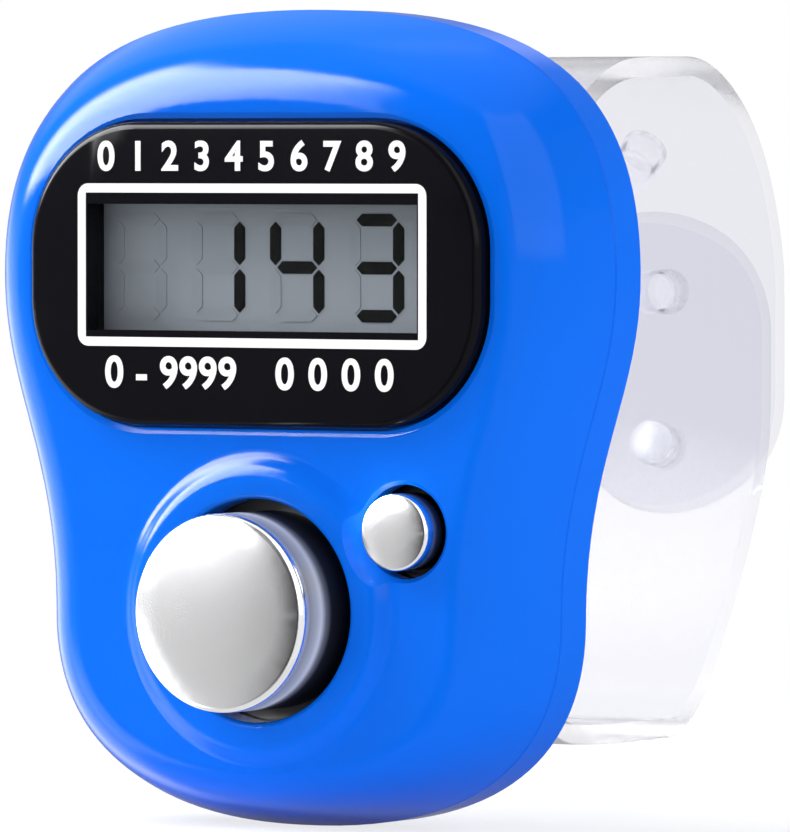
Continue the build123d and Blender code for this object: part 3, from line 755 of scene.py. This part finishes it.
screwCross = {
    "places": [(8.0, 15.0), (-8.0, 15.0), (9.6, -12.6), (-9.6, -12.6)],   # mm across and up
    "length": 1.55 * mm,
    "width": 0.36 * mm,
    "depth": 0.45 * mm,
    "turn": 20.0,       # from one screw to the next
}


def cutCross(screws, index, place):
    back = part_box("case_screws")[1].y
    for arm in (0, 90):
        bpy.ops.object.select_all(action="DESELECT")
        bpy.ops.mesh.primitive_cube_add(size=1)
        tool = bpy.context.object
        tool.scale = (screwCross["length"], 2 * screwCross["depth"], screwCross["width"])
        tool.rotation_euler = (0, math.radians(arm + index * screwCross["turn"]), 0)
        tool.location = (place[0] * mm, back, place[1] * mm)
        bpy.ops.object.transform_apply(location=True, rotation=True, scale=True)
        carve(screws, tool, "DIFFERENCE")


for index, place in enumerate(screwCross["places"]):
    cutCross(skinOf["case_screws"], index, place)
tidyMesh(skinOf["case_screws"], skins["sharpAngle"])
print("screw recesses cut:", len(screwCross["places"]))


# soft strap, two halves that close into the finger loop

strapShape = {
    "width": 12.6 * mm,
    "thickness": 1.0 * mm,
    "rounding": 0.3 * mm,
    "roundingSteps": 4,
    "roundFrom": 0.7,           # edges that turn by less, in radians, stay as they are
    "sharpAngle": 35.0,
    "columns": 28,
    "rows": 96,
    "lineSteps": 24,            # between two points of a route
    # depth and height along the middle of each half, from the case to the tip, in mm
    "upperRoute": [
        (-15.85, 11.8), (-13.6, 11.8), (-10.6, 11.8), (-6.5, 14.45), (-2.2, 17.2), (3.2, 17.4),
        (8.0, 17.4), (12.9, 13.9), (15.45, 8.0), (15.45, 3.5), (15.45, 0.0), (15.4, -2.4),
        (14.75, -4.2), (13.92, -5.83),
    ],
    "lowerRoute": [
        (-15.85, -13.1), (-13.5, -13.1), (-11.4, -13.2), (-7.6, -16.3), (-3.0, -16.5), (1.0, -16.5),
        (5.8, -16.5), (10.6, -9.6), (13.9, -2.8), (14.0, 1.0), (14.0, 4.5), (13.98, 7.0),
        (13.6, 8.5), (12.79, 9.59),
    ],
    "head": (13.8 * mm, 1.0 * mm, 1.8 * mm),        # the end that the case holds
    "pegSteps": [3.4 * mm, 11.8 * mm, 20.2 * mm],   # from the tip of the upper half
    "holeSteps": [3.4 * mm, 11.8 * mm],
    "pegRadius": 0.95 * mm,
    "pegLength": 1.6 * mm,
    "pegSink": 0.03 * mm,       # of its foot into the strap
    "pegHeadRadius": 1.2 * mm,
    "pegHeadRise": 0.5 * mm,
    "pegRounding": 0.16 * mm,
    "pegRoundingSteps": 3,
    "roundSides": 48,           # of a peg or a hole
    "holeRadius": 1.1 * mm,
    "holeDepth": 6 * mm,
}


def traceLine(route):
    bpy.ops.object.select_all(action="DESELECT")
    bpy.ops.curve.primitive_nurbs_path_add(location=(0, 0, 0))
    curve = bpy.context.object
    spline = curve.data.splines[0]
    spline.points.add(len(route) - len(spline.points))
    for point, (depth, height) in zip(spline.points, route):
        point.co = (0, depth * mm, height * mm, 1)
    spline.order_u = 3
    spline.use_endpoint_u = True
    spline.resolution_u = strapShape["lineSteps"]
    bpy.ops.object.convert(target="MESH")
    curve = bpy.context.object
    places = [vertex.co.copy() for vertex in curve.data.vertices]
    bpy.data.objects.remove(curve)
    marks = [0.0]      # distance of each place from the case
    for before, after in zip(places, places[1:]):
        marks.append(marks[-1] + (after - before).length)
    return {"places": places, "marks": marks, "length": marks[-1]}


def pointAlong(line, distance):
    places, marks = line["places"], line["marks"]
    index = 1
    while index < len(marks) - 1 and marks[index] < distance:
        index += 1
    before, after = places[index - 1], places[index]
    share = (distance - marks[index - 1]) / (marks[index] - marks[index - 1])
    return before.lerp(after, share), (after - before).normalized()


def makeBand(name, line, tone):
    half = strapShape["width"] / 2
    bpy.ops.object.select_all(action="DESELECT")
    bpy.ops.mesh.primitive_grid_add(
        x_subdivisions=strapShape["columns"], y_subdivisions=strapShape["rows"],
        size=1, location=(0, 0, 0),
    )
    band = bpy.context.object
    band.name = name
    for vertex in band.data.vertices:
        across = half * math.sin(math.pi * vertex.co.x)
        roundTip = math.sqrt(max(0.0, half * half - across * across))
        reach = line["length"] - half + roundTip
        place = pointAlong(line, (vertex.co.y + 0.5) * reach)[0]
        vertex.co = (across, place.y, place.z)
    band.data.materials.append(strapFinish[tone])
    # the rims take the paler edge finish, a painted highlight
    band.data.materials.append(strapFinish["edge"])
    applyModifier(
        band, "SOLIDIFY", thickness=strapShape["thickness"], offset=0, use_even_offset=True,
        material_offset_rim=1,
    )
    bpy.ops.mesh.primitive_cube_add(size=1)
    head = bpy.context.object
    head.scale = strapShape["head"]
    head.location = line["places"][0] + Vector((0, strapShape["head"][1] / 2, 0))
    activate(head)
    bpy.ops.object.transform_apply(location=True, rotation=True, scale=True)
    head.data.materials.append(strapFinish[tone])
    carve(band, head, "UNION")
    return band


def roundEdges(piece, width, steps):
    applyModifier(
        piece, "BEVEL", width=width, segments=steps, limit_method="ANGLE",
        angle_limit=strapShape["roundFrom"],
    )


def pegPlace(line, step):
    place, heading = pointAlong(line, line["length"] - step)
    inward = Vector((0, heading.z, -heading.y))
    return place, inward


def makePeg(line, step):
    place, inward = pegPlace(line, step)
    foot = place + inward * (strapShape["thickness"] / 2 - strapShape["pegSink"])
    length = strapShape["pegLength"] + strapShape["pegSink"]
    bpy.ops.object.select_all(action="DESELECT")
    bpy.ops.mesh.primitive_cylinder_add(
        vertices=strapShape["roundSides"], radius=strapShape["pegRadius"], depth=length,
        location=(0, 0, length / 2),
    )
    peg = bpy.context.object
    bpy.ops.object.transform_apply(location=True, rotation=True, scale=True)
    for face in peg.data.polygons:
        face.select = face.normal.z > 0.9
    bpy.ops.object.mode_set(mode="EDIT")
    bpy.ops.mesh.select_mode(type="FACE")
    grow = strapShape["pegHeadRadius"] / strapShape["pegRadius"]
    bpy.ops.mesh.extrude_region_move()
    bpy.ops.transform.resize(value=(grow, grow, 1))
    bpy.ops.mesh.extrude_region_move(TRANSFORM_OT_translate={"value": (0, 0, strapShape["pegHeadRise"])})
    bpy.ops.object.mode_set(mode="OBJECT")
    roundEdges(peg, strapShape["pegRounding"], strapShape["pegRoundingSteps"])
    applyPlace(peg, foot, inward)
    peg.data.materials.append(strapFinish["peg"])
    return peg


def makeHole(line, step):
    place, inward = pegPlace(line, step)
    bpy.ops.object.select_all(action="DESELECT")
    bpy.ops.mesh.primitive_cylinder_add(
        vertices=strapShape["roundSides"], radius=strapShape["holeRadius"], depth=strapShape["holeDepth"]
    )
    hole = bpy.context.object
    applyPlace(hole, place, inward)
    return hole


def finishStrap(strap, node):
    tidyMesh(strap, strapShape["sharpAngle"])
    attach(strap, "case")
    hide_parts(node)


upperLine = traceLine(strapShape["upperRoute"])
upperStrap = makeBand("upper_strap_band", upperLine, "upper")
roundEdges(upperStrap, strapShape["rounding"], strapShape["roundingSteps"])
pegs = [makePeg(upperLine, step) for step in strapShape["pegSteps"]]
activate(upperStrap)
for peg in pegs:
    peg.select_set(True)
bpy.ops.object.join()
finishStrap(upperStrap, "upper_strap")

lowerLine = traceLine(strapShape["lowerRoute"])
lowerStrap = makeBand("lower_strap_band", lowerLine, "lower")
for step in strapShape["holeSteps"]:
    carve(lowerStrap, makeHole(upperLine, step), "DIFFERENCE")
roundEdges(lowerStrap, strapShape["rounding"], strapShape["roundingSteps"])
finishStrap(lowerStrap, "lower_strap")
print("strap made:", len(upperStrap.data.polygons), "and", len(lowerStrap.data.polygons), "faces")


# printed numerals on the bezel

numerals = {
    "rows": [
        # words, size in mm, letter spacing, middle of the row from the frame's top middle in mm
        ("0 1 2 3 4 5 6 7 8 9", 2.0, 1.15, (0.0, 1.27)),
        ("0 - 9999", 2.15, 1.05, (-4.6, -9.35)),
        ("0 0 0 0", 2.15, 1.1, (4.8, -9.35)),
    ],
    "boldness": 0.05,
    "thickness": 0.04 * mm,
}


def printNumerals(index, words, size, spacing, middle):
    low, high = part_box("printed_frame")
    bpy.ops.object.select_all(action="DESELECT")
    bpy.ops.object.text_add(location=(0, 0, 0))
    text = bpy.context.object
    text.name = "numerals_" + str(index)
    text.data.body = words
    text.data.size = size
    text.data.space_character = spacing
    text.data.align_x = "CENTER"
    text.data.align_y = "CENTER"
    text.data.offset = numerals["boldness"]
    text.data.extrude = numerals["thickness"] / 2 / mm
    bpy.ops.object.convert(target="MESH")
    text = bpy.context.object
    text.scale = (mm, mm, mm)
    text.rotation_euler = (math.radians(90), 0, 0)
    text.location = (
        (low.x + high.x) / 2 + middle[0] * mm,
        high.y - numerals["thickness"] / 2,
        high.z + middle[1] * mm,
    )
    bpy.ops.object.transform_apply(location=True, rotation=True, scale=True)
    text.data.materials.clear()
    text.data.materials.append(finishes["white_print"])
    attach(text, "case")


for index, row in enumerate(numerals["rows"]):
    printNumerals(index, *row)
print("numerals printed:", len(numerals["rows"]))


# floor

floorDisc = {
    "radius": 400 * mm,
    "sides": 96,
    "shader": {"Base Color": (0.9, 0.9, 0.9, 1), "Roughness": 0.8, "Specular IOR Level": 0.1},
    "fadeStart": 15 * mm,       # from the object's middle, where the shadow starts to go white
    "fadeEnd": 90 * mm,
    "shadowShare": 0.25,
}


def addFloor():
    bpy.ops.object.select_all(action="DESELECT")
    bpy.ops.mesh.primitive_circle_add(
        vertices=floorDisc["sides"], radius=floorDisc["radius"], fill_type="NGON",
        location=(0, 0, cadBox[0][2]),
    )
    floor = bpy.context.object
    floor.name = "floor"
    bpy.ops.object.transform_apply(location=True, rotation=True, scale=True)
    material, tree, shader = newMaterial("paleFloor")
    setShader(shader, floorDisc["shader"])
    place = addNode(tree, "ShaderNodeTexCoord")
    length = addNode(tree, "ShaderNodeVectorMath", operation="LENGTH")
    fade = addNode(tree, "ShaderNodeMapRange", interpolation_type="SMOOTHSTEP")
    fade.inputs["From Min"].default_value = floorDisc["fadeStart"]
    fade.inputs["From Max"].default_value = floorDisc["fadeEnd"]
    fade.inputs["To Min"].default_value = 1 - floorDisc["shadowShare"]
    path = addNode(tree, "ShaderNodeLightPath")
    clear = addNode(tree, "ShaderNodeMath", operation="ADD", use_clamp=True)
    seen = addNode(tree, "ShaderNodeMath", operation="MULTIPLY")
    white = addNode(tree, "ShaderNodeEmission")
    mix = addNode(tree, "ShaderNodeMixShader")
    link = tree.links.new
    link(place.outputs["Object"], length.inputs[0])
    link(length.outputs["Value"], fade.inputs["Value"])
    link(fade.outputs["Result"], seen.inputs[0])
    link(path.outputs["Is Camera Ray"], clear.inputs[0])
    link(path.outputs["Is Transmission Ray"], clear.inputs[1])
    link(clear.outputs[0], seen.inputs[1])
    link(seen.outputs[0], mix.inputs["Fac"])
    link(shader.outputs["BSDF"], mix.inputs[1])
    link(white.outputs["Emission"], mix.inputs[2])
    link(mix.outputs["Shader"], tree.nodes["Material Output"].inputs["Surface"])
    floor.data.materials.append(material)
    floor.visible_glossy = False


addFloor()
print("floor laid")


# studio light

studio = {
    "fill": 0.62,
    "lamps": [
        # name, turn and rise of its direction, distance, width and height, watts
        ("keyLamp", -75, 45, 500 * mm, 340 * mm, 340 * mm, 3.4),
        ("sideLamp", 105, 30, 500 * mm, 300 * mm, 300 * mm, 0.9),
    ],
    # the room as gloss sees it: softboxes in degrees of turn and rise, on a pale grey
    "roomGrey": 0.35,
    "windows": [
        # turn from, to, rise from, to, blur of turn, of rise, brightness
        (-84, -33, 10, 51, 16, 6, 50.0),     # upper left softbox
        (-78, -48, -36, -8, 14, 14, 6.0),    # low left reflector
        (-130, -76, -38, 2, 16, 14, 3.0),    # and further round
        (-165, -108, 18, 72, 12, 12, 0.8),   # behind the left shoulder
        (24, 84, 4, 66, 4, 4, 3.0),          # right softbox
        (12, 128, -40, 14, 12, 10, 0.8),     # white card on the right
        (-16, 6, -25, 20, 8, 10, -0.28),     # dark gap beside it
        (-100, -24, -36, 16, 18, 18, 0.42),  # white card before the buttons
        (-200, 200, 64, 100, 10, 14, 1.2),   # ceiling
        (-200, 200, -100, -40, 10, 14, 0.7),     # table
    ],
}


windowLabels = ["Turn From", "Turn To", "Rise From", "Rise To", "Turn Blur", "Rise Blur", "Light"]


# one softbox: bright between two turns and two rises, with blurred edges
def buildWindowGroup():
    group, start, end = newGroup(
        "softWindow",
        [(label, "NodeSocketFloat", 0.0) for label in ["Turn", "Rise"] + windowLabels],
        [("Light", "NodeSocketFloat")],
    )
    link = group.links.new
    lit = start.outputs["Light"]
    for angle in ("Turn", "Rise"):
        for first, second in ((angle, angle + " From"), (angle + " To", angle)):
            inside = addNode(group, "ShaderNodeMath", operation="SUBTRACT")
            share = addNode(group, "ShaderNodeMath", operation="DIVIDE")
            edge = addNode(group, "ShaderNodeMapRange", interpolation_type="SMOOTHSTEP")
            edge.inputs["From Min"].default_value = -0.5
            edge.inputs["From Max"].default_value = 0.5
            part = addNode(group, "ShaderNodeMath", operation="MULTIPLY")
            link(start.outputs[first], inside.inputs[0])
            link(start.outputs[second], inside.inputs[1])
            link(inside.outputs[0], share.inputs[0])
            link(start.outputs[angle + " Blur"], share.inputs[1])
            link(share.outputs[0], edge.inputs["Value"])
            link(edge.outputs["Result"], part.inputs[0])
            link(lit, part.inputs[1])
            lit = part.outputs[0]
    link(lit, end.inputs["Light"])
    return group


softWindow = buildWindowGroup()


def addDegrees(tree, operation, first, second=None):
    angle = addNode(tree, "ShaderNodeMath", operation=operation)
    degrees = addNode(tree, "ShaderNodeMath", operation="DEGREES")
    tree.links.new(first, angle.inputs[0])
    if second:
        tree.links.new(second, angle.inputs[1])
    tree.links.new(angle.outputs[0], degrees.inputs[0])
    return degrees.outputs[0]


def lightWorld():
    world = bpy.data.worlds.new("studioWorld")
    bpy.context.scene.world = world
    world.use_nodes = True
    tree = world.node_tree
    link = tree.links.new
    fill = tree.nodes["Background"]
    fill.inputs["Color"].default_value = (1, 1, 1, 1)
    fill.inputs["Strength"].default_value = studio["fill"]
    white = addNode(tree, "ShaderNodeBackground")
    white.inputs["Color"].default_value = (1, 1, 1, 1)
    room = addNode(tree, "ShaderNodeBackground")
    place = addNode(tree, "ShaderNodeTexCoord")
    split = addNode(tree, "ShaderNodeSeparateXYZ")
    forward = addNode(tree, "ShaderNodeMath", operation="MULTIPLY")
    forward.inputs[1].default_value = -1
    link(place.outputs["Generated"], split.inputs[0])
    link(split.outputs["Y"], forward.inputs[0])
    turn = addDegrees(tree, "ARCTAN2", split.outputs["X"], forward.outputs[0])
    rise = addDegrees(tree, "ARCSINE", split.outputs["Z"])
    total = None
    for window in studio["windows"]:
        box = placeGroup(tree, softWindow, dict(zip(windowLabels, window)))
        link(turn, box.inputs["Turn"])
        link(rise, box.inputs["Rise"])
        gather = addNode(tree, "ShaderNodeMath", operation="ADD")
        gather.inputs[1].default_value = studio["roomGrey"]
        link(box.outputs["Light"], gather.inputs[0])
        if total:
            link(total, gather.inputs[1])
        total = gather.outputs[0]
    link(total, room.inputs["Strength"])
    path = addNode(tree, "ShaderNodeLightPath")
    clear = addNode(tree, "ShaderNodeMath", operation="ADD", use_clamp=True)
    mixRoom = addNode(tree, "ShaderNodeMixShader")
    mixClear = addNode(tree, "ShaderNodeMixShader")
    link(path.outputs["Is Glossy Ray"], mixRoom.inputs["Fac"])
    link(fill.outputs["Background"], mixRoom.inputs[1])
    link(room.outputs["Background"], mixRoom.inputs[2])
    link(path.outputs["Is Camera Ray"], clear.inputs[0])
    link(path.outputs["Is Transmission Ray"], clear.inputs[1])
    link(clear.outputs[0], mixClear.inputs["Fac"])
    link(mixRoom.outputs["Shader"], mixClear.inputs[1])
    link(white.outputs["Background"], mixClear.inputs[2])
    link(mixClear.outputs["Shader"], tree.nodes["World Output"].inputs["Surface"])


def addLamp(name, turn, rise, distance, width, height, watts):
    away = direction(turn, rise)
    middle = (Vector(cadBox[0]) + Vector(cadBox[1])) / 2
    bpy.ops.object.light_add(type="AREA", location=middle + away * distance)
    lamp = bpy.context.object
    lamp.name = name
    lamp.rotation_euler = away.to_track_quat("Z", "Y").to_euler()
    lamp.data.shape = "RECTANGLE"
    lamp.data.size = width
    lamp.data.size_y = height
    lamp.data.energy = watts
    lamp.visible_glossy = False     # the room's softboxes do that


lightWorld()
for lamp in studio["lamps"]:
    addLamp(*lamp)
print("lights set:", len(studio["lamps"]))
